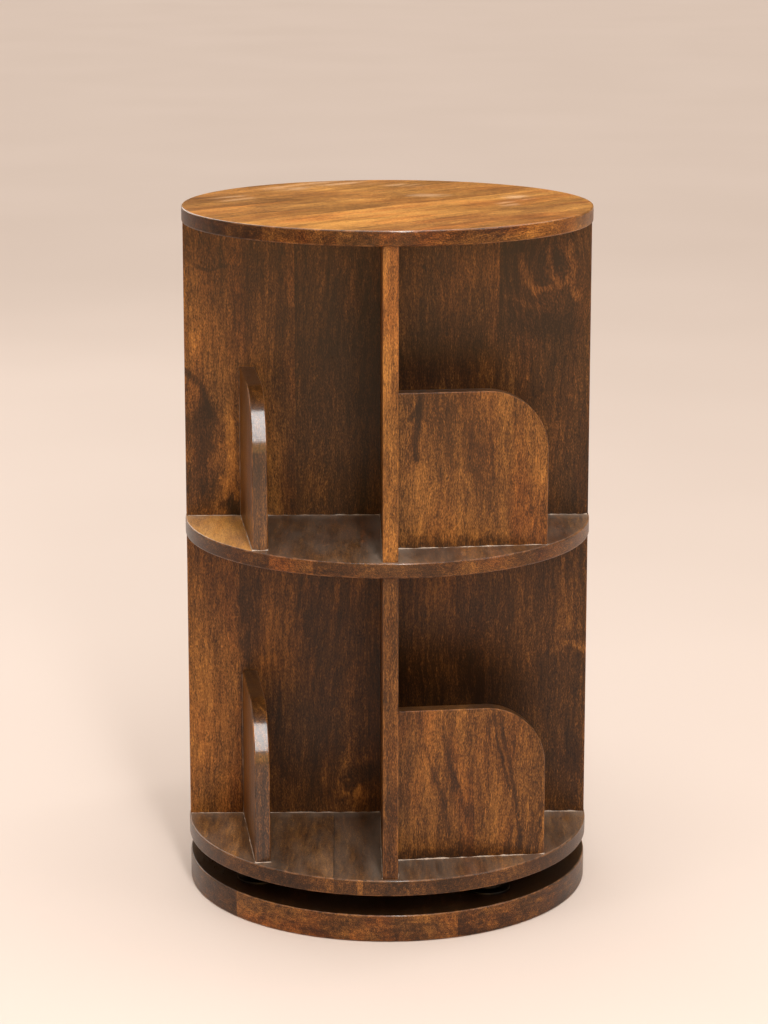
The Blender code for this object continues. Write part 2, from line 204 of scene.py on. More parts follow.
class Finish:
    """One material, with short calls that add nodes to it and join them."""

    def __init__(self, name, roughness, metallic=0.0):
        self.material = bpy.data.materials.new(name)
        self.material.use_nodes = True
        self.nodes = self.material.node_tree.nodes
        self.links = self.material.node_tree.links
        self.shader = self.nodes["Principled BSDF"]
        self.fill(self.shader, Roughness=roughness, Metallic=metallic)

    def set(self, node, socket, value):
        """Joins a socket to another node's output, or sets it to a constant."""
        target = node.inputs[socket]
        if isinstance(value, bpy.types.NodeSocket):
            self.links.new(value, target)
        elif hasattr(value, "__len__") and target.type == "RGBA":
            target.default_value = (*value[:3], 1)
        else:
            target.default_value = value

    def fill(self, node, **sockets):
        """Sets a node's sockets, whose names are given with underscores for spaces."""
        for socket, value in sockets.items():
            self.set(node, socket.replace("_", " "), value)
        return node

    def add(self, kind, **sockets):
        return self.fill(self.nodes.new(f"ShaderNode{kind}"), **sockets)

    def operate(self, kind, operation, values):
        node = self.nodes.new(f"ShaderNode{kind}")
        node.operation = operation
        for socket, value in enumerate(values):
            self.set(node, socket, value)
        return node

    def math(self, operation, *values):
        return self.operate("Math", operation, values).outputs[0]

    def vector(self, operation, *values):
        node = self.operate("VectorMath", operation, values)
        return node.outputs[1 if operation in ("LENGTH", "DOT_PRODUCT") else 0]

    def scaled(self, vector, scale):
        node = self.operate("VectorMath", "SCALE", (vector,))
        return self.fill(node, Scale=scale).outputs[0]

    def attribute(self, name):
        node = self.nodes.new("ShaderNodeAttribute")
        node.attribute_name = name
        return node.outputs["Fac"]

    def place(self, rotation=(0, 0, 0)):
        """The surface's own coordinates, turned."""
        source = self.nodes.new("ShaderNodeTexCoord").outputs["Object"]
        return self.add("Mapping", Vector=source, Rotation=rotation).outputs[0]

    def noise(self, place, stretch, detail=2.0, roughness=0.5, output="Fac"):
        """Noise whose features are 1 / stretch long, in metres, along each axis."""
        stretched = self.vector("MULTIPLY", place, stretch)
        node = self.add("TexNoise", Vector=stretched, Scale=1.0, Detail=detail, Roughness=roughness)
        return node.outputs[output]

    def drift(self, place, stretch, reach):
        """A place that wanders by up to about half of reach along each axis."""
        wander = self.vector("SUBTRACT", self.noise(place, stretch, output="Color"), (0.5, 0.5, 0.5))
        return self.vector("ADD", place, self.vector("MULTIPLY", wander, reach))

    def span(self, value, low, high, to_low=0.0, to_high=1.0):
        """Maps a range of values to another, with soft ends."""
        node = self.nodes.new("ShaderNodeMapRange")
        node.interpolation_type = "SMOOTHSTEP"
        for socket, number in zip(range(5), (value, low, high, to_low, to_high)):
            self.set(node, socket, number)
        return node.outputs[0]

    def ramp(self, value, stops):
        node = self.nodes.new("ShaderNodeValToRGB")
        self.set(node, 0, value)
        fill_ramp(node.color_ramp, stops)
        return node.outputs["Color"]

    def shades(self, value, colour, darkest, lightest):
        """A colour that varies from a darker to a lighter share of itself."""
        return self.ramp(value, [
            (position, tuple(min(1.0, channel * share) for channel in colour))
            for position, share in ((0.3, darkest), (0.7, lightest))
        ])

    def mix(self, share, first, second, blend="MIX"):
        node = self.nodes.new("ShaderNodeMix")
        node.data_type = "RGBA"
        node.blend_type = blend
        node.clamp_factor = True
        for socket, value in ((0, share), (6, first), (7, second)):
            self.set(node, socket, value)
        return node.outputs[2]

    def total(self, first, *parts):
        """Adds (value, weight) pairs to a value. Each value counts from its middle, 0.5."""
        for value, weight in parts:
            centred = self.math("SUBTRACT", value, 0.5)
            first = self.math("ADD", first, self.math("MULTIPLY", centred, weight))
        return first

    def bump(self, height, strength, distance):
        node = self.add("Bump", Height=height, Strength=strength, Distance=distance)
        self.fill(self.shader, Normal=node.outputs[0])


def along_turn(bearing):
    """Rotation that lays a board's grain flat, at an angle from +X, on the finish's own Z axis."""
    across = (-math.sin(bearing), math.cos(bearing), 0)
    along = (math.cos(bearing), math.sin(bearing), 0)
    return Matrix((across, UP, along)).to_euler()


def knot(finish, place, centre, size):
    """Bends the grain round a knot, and gives the knot's own darkness."""
    offset = finish.vector("SUBTRACT", place, centre)
    reach = finish.vector("LENGTH", finish.vector("DIVIDE", offset, size))
    pull = finish.span(reach, 0.2, 2.4, 1.0, 0.0)
    swell = finish.vector("MULTIPLY", offset, (-0.62, 0, -0.2))
    bent = finish.vector("ADD", place, finish.scaled(swell, pull))
    heart = finish.span(reach, 0.35, 1.25, 1.0, 0.0)
    rings = finish.math("SINE", finish.math("MULTIPLY", reach, KNOT_RING_RATE))
    ringed = finish.math("MULTIPLY", heart, finish.span(rings, -1.0, 1.0, 0.55, 1.0))
    return bent, ringed


def on_wall(x, z, half_width, half_height, strength):
    """A spot on both faces of an upright board that stands across the front."""
    return (x, 0, z), (half_width, 1, half_height), strength


def on_disc(x, y, half_width, half_depth, strength):
    """A spot on a disc's faces."""
    return (x, y, 0), (half_width, half_depth, 10), strength


def spotted(finish, spots):
    """The total of soft uneven spots, each (centre, size, strength)."""
    total = 0.0
    ragged = finish.drift(finish.place(), (90, 90, 60), (0.018, 0.018, 0.026))
    for centre, size, strength in spots:
        offset = finish.vector("SUBTRACT", ragged, centre)
        reach = finish.vector("LENGTH", finish.vector("DIVIDE", offset, size))
        total = finish.math("ADD", total, finish.span(reach, 0.15, 1.3, strength, 0.0))
    return total


def veined(finish, veins):
    """The total of thin lines on an upright board, each ((x, z) points, half width, strength)."""
    total = 0.0
    wandering = finish.drift(finish.place(), (120, 120, 60), (0.006, 0.006, 0.010))
    flattened = finish.vector("MULTIPLY", wandering, (1, 0, 1))
    for points, half_width, strength in veins:
        share = 0.0
        for (x, z), (next_x, next_z) in zip(points, points[1:]):
            run = Vector((next_x - x, 0, next_z - z))
            offset = finish.vector("SUBTRACT", flattened, (x, 0, z))
            along = finish.math("DIVIDE", finish.vector("DOT_PRODUCT", offset, run), run.length_squared)
            along = finish.math("MAXIMUM", finish.math("MINIMUM", along, 1.0), 0.0)
            aside = finish.vector("SUBTRACT", offset, finish.scaled(run, along))
            distance = finish.vector("LENGTH", aside)
            near = finish.span(distance, half_width * 0.2, half_width * 1.3, 1.0, 0.0)
            share = finish.math("MAXIMUM", share, near)
        total = finish.math("ADD", total, finish.math("MULTIPLY", share, strength))
    return total


def growth_rings(finish, turned, place, grain, shuffle):
    """Arched lines of growth rings, cut at a slant, which come and go over the board."""
    centred = finish.vector("SUBTRACT", shuffle, (0.5, 0.2, 0.5))
    pith = finish.vector("ADD", turned, finish.vector("MULTIPLY", centred, (0.16, 0.12, 0)))
    lean = finish.vector("MULTIPLY", finish.vector("SUBTRACT", grain, place), (1.4, 1.4, 0))
    heartwood = finish.vector("MULTIPLY", finish.vector("ADD", pith, lean), (1, 1, 0.13))
    radius = finish.vector("LENGTH", heartwood)
    wave = finish.math("SINE", finish.math("MULTIPLY", radius, RING_RATE))
    centred_wave = finish.math("MULTIPLY", wave, 0.5)
    share = finish.span(finish.noise(place, (10, 10, 3)), 0.42, 0.66)
    return finish.math("ADD", 0.5, finish.math("MULTIPLY", centred_wave, share))


def stained_wood(
    name, finishes, rotation=(0, 0, 0), knots=(), stain_and_shade_spots=(), veins=(), smears_and_glare=(), dust_sheen_amount=0.0, sheen=0.26,
    figure=0.09, coarse=1.0, flame=0.0, layered=0.0,
):
    """Satin stained hardwood. Its grain runs along Z once the rotation has turned the board.

    Knots bend the grain. Spots and veins lighten or darken the stain, and some spots are painted shade
    in corners, behind the stops and at the feet of uprights. Pale polish marks on the top are partly
    painted glare, and dust near a shelf's uprights comes with a painted sheen over its upper faces.
    Eased edges are painted paler, as wear and as a painted highlight. Figure, coarse, flame and layered
    say how much shows of the growth rings, the mottling, the long flames and the layers across a rim.
    """
    finish = Finish(name, 0.45)
    turned = finish.place(rotation)
    chance = finish.nodes.new("ShaderNodeTexWhiteNoise")
    chance.noise_dimensions = "1D"
    finish.set(chance, "W", finish.attribute("stave"))
    shuffle = chance.outputs["Color"]
    place, darkness = turned, 0.0
    for centre, size, strength in knots:
        place, heart = knot(finish, place, centre, size)
        darkness = finish.math("ADD", darkness, finish.math("MULTIPLY", heart, strength))
    place = finish.vector("ADD", place, finish.vector("MULTIPLY", shuffle, (5.0, 5.0, 5.0)))
    wandering = finish.drift(place, (7, 7, 3), (0.030, 0.030, 0))
    wavy = finish.drift(wandering, (90, 90, 34), (0.0060, 0.0060, 0))
    grain = finish.drift(wavy, (260, 260, 130), (0.0028, 0.0028, 0))

    rings = growth_rings(finish, turned, place, grain, shuffle)
    bands = finish.noise(grain, (85, 85, 6), 3.0, 0.6)
    streaks = finish.noise(grain, (310, 310, 20), 2.0, 0.6)
    fibre = finish.noise(grain, (1150, 1150, 60), 2.0, 0.6)
    specks = finish.noise(wavy, (1250, 1250, 420), 1.0)
    mottle = finish.noise(wandering, (110, 110, 50), 2.5, 0.6)
    flames = finish.noise(wavy, (46, 46, 6), 3.0, 0.6)
    layers = finish.noise(finish.place(), (42, 42, 240), 2.0, 0.6)
    blotch = finish.noise(place, (13, 13, 6), 2.5, 0.5)
    pores = finish.span(finish.noise(grain, (1400, 1400, 170), 1.0), 0.57, 0.70)

    depth = finish.math("ADD", finish.attribute("tone"), MIDDLE_DEPTH)
    depth = finish.total(
        depth, (bands, 0.34), (streaks, 0.40), (fibre, 0.60), (specks, 0.60), (mottle, 0.18 * coarse),
        (flames, flame), (layers, layered), (blotch, 0.60), (rings, figure),
    )
    # Spots of lighter or darker stain, some of which are painted shade.
    if stain_and_shade_spots:
        depth = finish.math("ADD", depth, spotted(finish, stain_and_shade_spots))
    if veins:
        depth = finish.math("ADD", depth, veined(finish, veins))
    depth = finish.math("SUBTRACT", depth, finish.math("MULTIPLY", pores, 0.16))
    depth = finish.math("SUBTRACT", depth, darkness)
    colour = finish.ramp(depth, (
        (0.10, finishes.stain_dark), (0.34, finishes.stain_deep), (0.54, finishes.stain_body),
        (0.74, finishes.stain_light), (0.95, finishes.stain_gold),
    ))
    glow = finish.span(finish.noise(grain, (30, 30, 9), 2.0), 0.38, 0.70)
    warmth = finish.math("MULTIPLY", finish.attribute("warmth"), glow)
    colour = finish.mix(warmth, colour, finish.mix(0.62, colour, finishes.stain_ember, "OVERLAY"))
    soaked = finish.span(finish.noise(place, (17, 17, 8), 3.0, 0.6), 0.55, 0.74, 0.0, 0.5)
    colour = finish.mix(soaked, colour, finish.mix(1.0, colour, finishes.soaked_tint, "MULTIPLY"))
    # Eased edges painted paler, in patches: wear, and a painted highlight.
    wear_highlight_patches = finish.span(finish.noise(grain, (120, 120, 60), 2.0), 0.42, 0.70, 0.0, 0.24)
    wear_and_highlight = finish.math("MULTIPLY", finish.attribute("edge"), wear_highlight_patches)
    colour = finish.mix(wear_and_highlight, colour, finishes.worn_edge_and_highlight)
    colour = finish.mix(finish.attribute("seam"), colour, finishes.stain_dark)
    gloss = finish.total(0.33, (fibre, 0.14), (blotch, 0.18))
    # Pale polish marks, partly painted glare.
    if smears_and_glare:
        polish_glare_share = finish.math("MULTIPLY", spotted(finish, smears_and_glare), finish.span(bands, 0.40, 0.62))
        colour = finish.mix(polish_glare_share, colour, finishes.smear_and_glare)
    # Dust near the uprights, and a painted greyish sheen over the upper faces of the shelves.
    if dust_sheen_amount:
        dust_with_sheen = finish.math("MULTIPLY", corner_dust_and_sheen(finish, place), dust_sheen_amount)
        colour = finish.mix(dust_with_sheen, colour, finishes.wax)
        gloss = finish.math("ADD", gloss, finish.math("MULTIPLY", dust_with_sheen, 0.3))
    finish.fill(
        finish.shader, Base_Color=colour, Roughness=gloss, Specular_IOR_Level=sheen,
        Coat_Weight=finish.attribute("gloss"), Coat_Roughness=0.16,
    )
    pits = finish.math("MULTIPLY", pores, 0.8)
    finish.bump(finish.math("SUBTRACT", finish.math("MULTIPLY", fibre, 0.6), pits), 0.2, 0.0005)
    return finish.material


def corner_dust_and_sheen(finish, scatter):
    """Dust and a painted sheen on a shelf: thin and patchy, and thicker close to the uprights that cross
    on it.
    """
    split = finish.add("SeparateXYZ", Vector=finish.place())
    cross = finish.math("ABSOLUTE", split.outputs["Y"])
    divider = finish.math("ABSOLUTE", split.outputs["X"])
    nearest = finish.math("MINIMUM", cross, divider)
    close = finish.span(nearest, 0.0075, 0.030, 1.0, 0.0)
    spread = finish.span(finish.noise(scatter, (45, 45, 14), 4.0, 0.6), 0.30, 0.70, 0.20, 1.0)
    facing = finish.nodes.new("ShaderNodeTexCoord").outputs["Normal"]
    level = finish.span(finish.add("SeparateXYZ", Vector=facing).outputs["Z"], 0.9, 0.99)
    reach = finish.math("ADD", finish.math("MULTIPLY", close, 0.32), 0.20)
    return finish.math("MULTIPLY", finish.math("MULTIPLY", reach, spread), level)


def metal(name, colour, roughness, scratch):
    """Bare steel with fine turning marks and a little staining."""
    finish = Finish(name, roughness, 1.0)
    place = finish.place()
    marks = finish.noise(place, (900, 900, 2600), 2.0)
    stains = finish.noise(place, (160, 160, 160), 3.0, 0.6)
    shade = finish.total(0.5, (marks, 0.25), (stains, 0.6))
    finish.fill(
        finish.shader, Base_Color=finish.shades(shade, colour, 0.55, 1.25),
        Roughness=finish.total(roughness, (marks, 0.12), (stains, 0.25)),
    )
    finish.bump(marks, scratch, 0.0002)
    return finish.material


def plain_stuff(name, colour, roughness, stretch, contrast):
    """A matt material with soft streaks or clouds: dowel wood, nylon or wax."""
    finish = Finish(name, roughness)
    place = finish.drift(finish.place(), (200, 200, 40), (0.002, 0.002, 0.002))
    streaks = finish.noise(place, stretch, 3.0, 0.6)
    finish.fill(
        finish.shader, Base_Color=finish.shades(streaks, colour, 1 - contrast, 1 + contrast),
        Roughness=finish.total(roughness, (streaks, 0.2)),
    )
    finish.bump(streaks, 0.2, 0.0002)
    return finish.material


def grow(shape, faces):
    """Extrudes faces as one region, and gives the vertices and faces of its far end."""
    made = bmesh.ops.extrude_face_region(shape, geom=faces)["geom"]
    verts = [item for item in made if isinstance(item, bmesh.types.BMVert)]
    return verts, [item for item in made if isinstance(item, bmesh.types.BMFace)]


class Board:
    """A board's shape while it is cut, with what its finish reads from each face."""

    def __init__(self):
        self.shape = bmesh.new()
        layers = self.shape.faces.layers.float
        self.layers = {name: layers.new(name) for name in FACE_NOTES}

    def everything(self):
        return self.shape.verts[:] + self.shape.edges[:] + self.shape.faces[:]

    def ease(self, edges, radius):
        """Rounds edges over, and marks the new faces, which the finish paints paler as wear and as a
        painted highlight.
        """
        made = bmesh.ops.bevel(
            self.shape, geom=edges, offset=radius, offset_type="OFFSET", affect="EDGES",
            segments=EASE_STEPS, profile=0.5, material=-1,
        )
        for face in made["faces"]:
            face[self.layers["edge"]] = 1.0

    def cut(self, point, normal, clear=False):
        bmesh.ops.bisect_plane(
            self.shape, geom=self.everything(), plane_co=point, plane_no=normal, clear_outer=clear,
        )

    def glue_up(self, across, staves, first_number, origin=(0, 0, 0)):
        """Divides the board into staves, each (far limit, tone, warmth), along a direction."""
        origin = Vector(origin)
        limits = [limit for limit, tone, warmth in staves]
        for limit in limits[:-1]:
            self.cut(origin + across * limit, across)
        for face in self.shape.faces:
            distance = (face.calc_center_median() - origin).dot(across)
            index = min(sum(distance > limit for limit in limits), len(staves) - 1)
            face[self.layers["stave"]] = first_number + index
            face[self.layers["tone"]] = staves[index][1]
            face[self.layers["warmth"]] = staves[index][2]

    def tint(self, chosen, across, zones):
        """Gives the chosen faces other tones, by zones (far limit, tone, warmth) along a direction."""
        for face in filter(chosen, self.shape.faces):
            distance = face.calc_center_median().dot(across)
            tone, warmth = next(zone[1:] for zone in zones if distance <= zone[0])
            face[self.layers["tone"]] = tone
            face[self.layers["warmth"]] = warmth

    def upper_edge(self, face):
        """True of an eased edge that faces upwards."""
        return face[self.layers["edge"]] > 0 and face.normal.z > 0

    def polish(self, chosen, gloss):
        for face in filter(chosen, self.shape.faces):
            face[self.layers["gloss"]] = gloss

    def open_seam(self, point, across, width, depth, chosen):
        """Sinks the narrow strip of chosen faces along a glue line, where the seam has opened."""
        for side in (-0.5, 0.5):
            self.cut(point + across * (side * width), across)
        strip = [
            face for face in self.shape.faces
            if abs((face.calc_center_median() - point).dot(across)) < width / 2 and chosen(face)
        ]
        for face in strip:
            face[self.layers["seam"]] = 1.0
        inwards = -strip[0].normal.copy()
        moved = grow(self.shape, strip)[0]
        bmesh.ops.delete(self.shape, geom=strip, context="FACES_ONLY")
        bmesh.ops.translate(self.shape, verts=moved, vec=inwards * depth)

    def settle(self):
        """Smooth shading, parted where an eased edge meets a flat face."""
        edge = self.layers["edge"]
        for face in self.shape.faces:
            face.smooth = True
        for line in self.shape.edges:
            sides = line.link_faces
            parted = len(sides) == 2 and sides[0][edge] != sides[1][edge]
            line.smooth = not parted and line.calc_face_angle(0) < SHARP_ANGLE


def show(name, shape, material):
    """Turns a finished shape into an object in the scene."""
    mesh = bpy.data.meshes.new(name)
    shape.to_mesh(mesh)
    shape.free()
    mesh.materials.append(material)
    item = bpy.data.objects.new(name, mesh)
    bpy.context.scene.collection.objects.link(item)
    return item


def publish(name, shape, material, body, slot, *nodes):
    """Makes a finished piece that rides on a body and stands for the CAD nodes named, if any."""
    piece = show(name, shape, material)
    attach(piece, body)
    if nodes:
        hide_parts(*nodes)


def publish_board(name, board, wood, node, body="case"):
    """Makes a finished board that stands for its CAD node."""
    board.settle()
    publish(name, board.shape, wood, body, "stained_wood", node)


def turned_disc(node, easing):
    """The round blank of a disc, with both rims eased."""
    low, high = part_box(node)
    board = Board()
    bmesh.ops.create_circle(board.shape, cap_ends=True, segments=RIM_STEPS, radius=high.x)
    bmesh.ops.translate(board.shape, verts=board.shape.verts[:], vec=UP * low.z)
    moved = grow(board.shape, board.shape.faces[:])[0]
    bmesh.ops.translate(board.shape, verts=moved, vec=UP * (high.z - low.z))
    bmesh.ops.recalc_face_normals(board.shape, faces=board.shape.faces[:])
    rims = [line for line in board.shape.edges if line.calc_face_angle(0) > SHARP_ANGLE]
    board.ease(rims, easing)
    return board


def upright(node, bedding, easing):
    """A panel or divider, let into the discs above and below it. Its upright edges are eased."""
    low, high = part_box(node)
    low, high = low - UP * bedding, high + UP * bedding
    board = Board()
    bmesh.ops.create_cube(board.shape, size=1)
    bmesh.ops.scale(board.shape, verts=board.shape.verts[:], vec=high - low)
    bmesh.ops.translate(board.shape, verts=board.shape.verts[:], vec=(low + high) / 2)
    edges = [
        line for line in board.shape.edges
        if abs((line.verts[0].co - line.verts[1].co).normalized().z) > 0.5
    ]
    board.ease(edges, easing)
    return board


def flat_face(face):
    """True of the upper face of a disc."""
    return face.normal.z > 0.9


def rim_face(face):
    """True of a disc's rim and its eased edges."""
    return abs(face.normal.z) < 0.9


class BOOKCASE_OT_top(bpy.types.Operator):
    """Make the top disc, glued up from staves that run at an angle to the panels"""

    bl_idname = "bookcase.top"
    bl_label = "Top disc"

    def execute(self, context):
        boards, finishes = context.scene.bookcase_boards, context.scene.bookcase_finishes
        across = Vector((-math.sin(TOP_BEARING), math.cos(TOP_BEARING), 0))
        board = turned_disc("top_disc", boards.rim_easing)
        board.glue_up(across, (
            (-0.117, 0.11, 0.60), (-0.017, 0.25, 0.55), (0.084, 0.20, 0.45), (0.3, 0.16, 0.25),
        ), FIRST_STAVE["top"])
        # The rim's tones follow its staves; the dark left-hand zone and the pale right-hand zone also
        # paint shade and sheen.
        board.tint(rim_face, Vector((1, 0, 0)), (
            (-0.120, -0.25, 0.7), (-0.063, -0.10, 0.7), (-0.009, -0.18, 0.5), (0.128, -0.10, 0.7),
            (0.3, 0.02, 0.4),
        ))
        board.polish(board.upper_edge, 1.0)
        # Spots of lighter or darker stain on the top; none of these is painted shade.
        stain_and_shade_spots = (
            on_disc(-0.110, 0.030, 0.030, 0.018, -0.10), on_disc(-0.080, 0.085, 0.034, 0.020, -0.05),
            on_disc(-0.005, -0.035, 0.040, 0.020, -0.06), on_disc(0.065, -0.105, 0.050, 0.026, -0.06),
            on_disc(0.125, -0.045, 0.030, 0.018, -0.10), on_disc(0.115, 0.165, 0.030, 0.020, -0.05),
            on_disc(-0.040, 0.035, 0.030, 0.018, 0.08), on_disc(-0.055, -0.145, 0.040, 0.024, 0.08),
            on_disc(0.165, -0.090, 0.030, 0.026, 0.10),
        )
        # Pale polish marks on the top, partly painted glare, most of all those at the back left.
        smears_and_glare = (
            on_disc(0.133, 0.050, 0.016, 0.024, 0.55), on_disc(0.120, -0.004, 0.012, 0.026, 0.45),
            on_disc(0.040, 0.068, 0.026, 0.016, 0.50), on_disc(-0.060, 0.172, 0.060, 0.024, 0.55),
            on_disc(-0.105, 0.135, 0.030, 0.028, 0.45), on_disc(-0.155, 0.045, 0.024, 0.034, 0.40),
            on_disc(0.020, 0.155, 0.026, 0.016, 0.45),
        )
        wood = stained_wood(
            "top_wood", finishes, along_turn(TOP_BEARING), stain_and_shade_spots=stain_and_shade_spots, smears_and_glare=smears_and_glare, sheen=0.18,
            flame=0.40,
        )
        publish_board("top_board", board, wood, "top_disc")
        return {"FINISHED"}


class BOOKCASE_OT_shelves(bpy.types.Operator):
    """Make the middle and bottom shelves, with one open seam in the bottom one"""

    bl_idname = "bookcase.shelves"
    bl_label = "Shelves"

    staves = {
        "middle": (
            (-0.132, 0.42, 0.20), (-0.028, -0.09, 0.40), (0.068, -0.08, 0.60), (0.3, -0.10, 0.60),
        ),
        "bottom": (
            (-0.150, -0.01, 0.10), (-0.055, -0.12, 0.10), (0.045, -0.12, 0.20), (0.3, -0.10, 0.60),
        ),
    }
    rim_zones = {
        "middle": (
            (-0.117, -0.16, 0.4), (-0.072, -0.04, 0.8), (-0.028, -0.20, 0.4), (0.018, -0.08, 0.8),
            (0.150, -0.15, 0.6), (0.3, -0.12, 0.4),
        ),
        "bottom": (
            (-0.130, -0.13, 0.0), (-0.034, -0.19, 0.1), (-0.025, 0.02, 0.4), (0.060, -0.19, 0.1),
            (0.3, -0.17, 0.1),
        ),
    }
    open_seams = {"middle": (), "bottom": (-0.055,)}

    def execute(self, context):
        boards, finishes = context.scene.bookcase_boards, context.scene.bookcase_finishes
        across = Vector((1, 0, 0))
        # The shelves carry dust and a painted sheen on their upper faces.
        wood = stained_wood(
            "shelf_wood", finishes, along_turn(SHELF_BEARING), dust_sheen_amount=1.0, sheen=0.30, coarse=0.6,
        )
        for name, staves in self.staves.items():
            node = f"{name}_shelf"
            board = turned_disc(node, boards.rim_easing)
            board.glue_up(across, staves, FIRST_STAVE[name])
            board.tint(rim_face, across, self.rim_zones[name])
            board.polish(board.upper_edge, 0.6)
            for x in self.open_seams[name]:
                point = Vector((x, 0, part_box(node)[1].z))
                board.open_seam(point, across, boards.seam_width, boards.seam_depth, flat_face)
            publish_board(f"{name}_board", board, wood, node)
        return {"FINISHED"}


class BOOKCASE_OT_base(bpy.types.Operator):
    """Make the thick base disc, whose seams show on its rim"""

    bl_idname = "bookcase.base"
    bl_label = "Base disc"

    def execute(self, context):
        boards, finishes = context.scene.bookcase_boards, context.scene.bookcase_finishes
        across = Vector((1, 0, 0))
        board = turned_disc("base_disc", boards.rim_easing)
        board.glue_up(across, (
            (-0.152, -0.10, 0.0), (-0.040, -0.01, 0.60), (0.066, -0.06, 0.45), (0.3, -0.05, 0.20),
        ), FIRST_STAVE["base"])
        # The base's upper face, in the dark gap under the bottom shelf, is painted much darker: painted
        # shade.
        board.tint(flat_face, across, ((0.3, -0.45, 0.0),))
        board.tint(rim_face, across, (
            (-0.152, -0.14, 0.1), (-0.040, -0.06, 0.7), (0.066, -0.09, 0.6), (0.3, -0.13, 0.3),
        ))
        board.polish(board.upper_edge, 0.5)
        wood = stained_wood("base_wood", finishes, along_turn(SHELF_BEARING), coarse=2.2, layered=0.45)
        publish_board("base_board", board, wood, "base_disc", "base")
        return {"FINISHED"}


class BOOKCASE_OT_cross_panels(bpy.types.Operator):
    """Make the two full-width cross panels"""

    bl_idname = "bookcase.cross_panels"
    bl_label = "Cross panels"

    staves = {
        "upper": (
            (-0.093, -0.03, 0.35), (0.004, -0.19, 0.10), (0.112, -0.12, 0.20), (0.3, -0.22, 0.30),
        ),
        "lower": (
            (-0.151, 0.03, 0.30), (-0.020, -0.13, 0.15), (0.100, -0.15, 0.20), (0.3, -0.17, 0.10),
        ),
    }
    knots = {
        "upper": (((0.168, 0, 0.626), (0.024, 1, 0.030), 0.05),),
        "lower": (((-0.041, 0, 0.091), (0.012, 1, 0.020), 0.16),),
    }
    # Spots of lighter or darker stain. The dark spots towards and along the divider, behind and above the
    # right-hand stops, and the thin dark strip at the left stop's foot are painted shade.
    stain_and_shade_spots = {
        "upper": (
            on_wall(-0.192, 0.580, 0.018, 0.090, 0.10), on_wall(-0.165, 0.547, 0.016, 0.050, 0.05),
            on_wall(-0.192, 0.660, 0.024, 0.022, -0.10), on_wall(-0.138, 0.600, 0.018, 0.100, -0.18),
            on_wall(-0.110, 0.610, 0.022, 0.090, -0.18), on_wall(-0.010, 0.530, 0.032, 0.200, -0.07),
            on_wall(-0.184, 0.470, 0.022, 0.040, -0.22), on_wall(-0.190, 0.417, 0.022, 0.034, -0.22),
            on_wall(-0.160, 0.470, 0.009, 0.034, 0.20), on_wall(-0.159, 0.420, 0.010, 0.036, 0.16),
            on_wall(-0.156, 0.388, 0.014, 0.009, -0.34), on_wall(0.036, 0.635, 0.002, 0.004, -0.34),
            on_wall(0.138, 0.650, 0.034, 0.018, -0.12), on_wall(0.171, 0.636, 0.010, 0.013, -0.14),
            on_wall(0.155, 0.575, 0.045, 0.016, -0.08), on_wall(0.198, 0.560, 0.012, 0.110, 0.08),
            on_wall(0.050, 0.543, 0.065, 0.045, -0.20), on_wall(0.100, 0.527, 0.014, 0.020, 0.12),
            on_wall(0.170, 0.440, 0.040, 0.060, 0.08), on_wall(0.060, 0.630, 0.040, 0.040, 0.06),
            on_wall(-0.105, 0.550, 0.018, 0.060, -0.10),
        ),
        "lower": (
            on_wall(-0.190, 0.200, 0.014, 0.120, 0.06), on_wall(-0.016, 0.106, 0.018, 0.011, -0.18),
            on_wall(-0.030, 0.084, 0.014, 0.010, 0.18), on_wall(-0.118, 0.150, 0.014, 0.080, -0.08),
            on_wall(-0.010, 0.200, 0.030, 0.160, -0.06), on_wall(0.197, 0.240, 0.009, 0.011, 0.14),
            on_wall(0.180, 0.275, 0.040, 0.060, 0.12), on_wall(0.150, 0.120, 0.050, 0.040, -0.06),
            on_wall(0.050, 0.210, 0.070, 0.050, -0.10), on_wall(0.115, 0.190, 0.040, 0.050, -0.16),
            on_wall(0.045, 0.310, 0.040, 0.040, 0.05), on_wall(-0.140, 0.260, 0.012, 0.060, -0.14),
        ),
    }
    veins = {
        "upper": (
            (((0.133, 0.646), (0.139, 0.620), (0.147, 0.610), (0.161, 0.611)), 0.0055, 0.21),
            (((0.161, 0.650), (0.164, 0.629), (0.173, 0.616)), 0.0050, 0.19),
            (((0.181, 0.650), (0.187, 0.634), (0.182, 0.619), (0.189, 0.604)), 0.0050, 0.19),
            (((0.118, 0.606), (0.137, 0.596), (0.162, 0.590)), 0.0040, 0.10),
            (((-0.193, 0.637), (-0.178, 0.631), (-0.160, 0.638)), 0.0025, -0.16),
            (((-0.202, 0.528), (-0.186, 0.512), (-0.178, 0.482)), 0.0035, -0.18),
        ),
        "lower": (
            (((-0.052, 0.098), (-0.046, 0.084), (-0.034, 0.080), (-0.030, 0.092)), 0.0038, 0.16),
            (((0.168, 0.236), (0.186, 0.246), (0.202, 0.238)), 0.0035, 0.12),
        ),
    }

    def execute(self, context):
        boards, finishes = context.scene.bookcase_boards, context.scene.bookcase_finishes
        for number, storey in enumerate(SHELVES):
            node = f"{storey}_cross_panel"
            board = upright(node, boards.bedding, boards.edge_easing)
            board.glue_up(Vector((1, 0, 0)), self.staves[storey], FIRST_STAVE["panel"] + 10 * number)
            wood = stained_wood(
                f"{storey}_panel_wood", finishes, knots=self.knots[storey], stain_and_shade_spots=self.stain_and_shade_spots[storey],
                veins=self.veins[storey],
            )
            publish_board(f"{storey}_cross_board", board, wood, node)
        return {"FINISHED"}


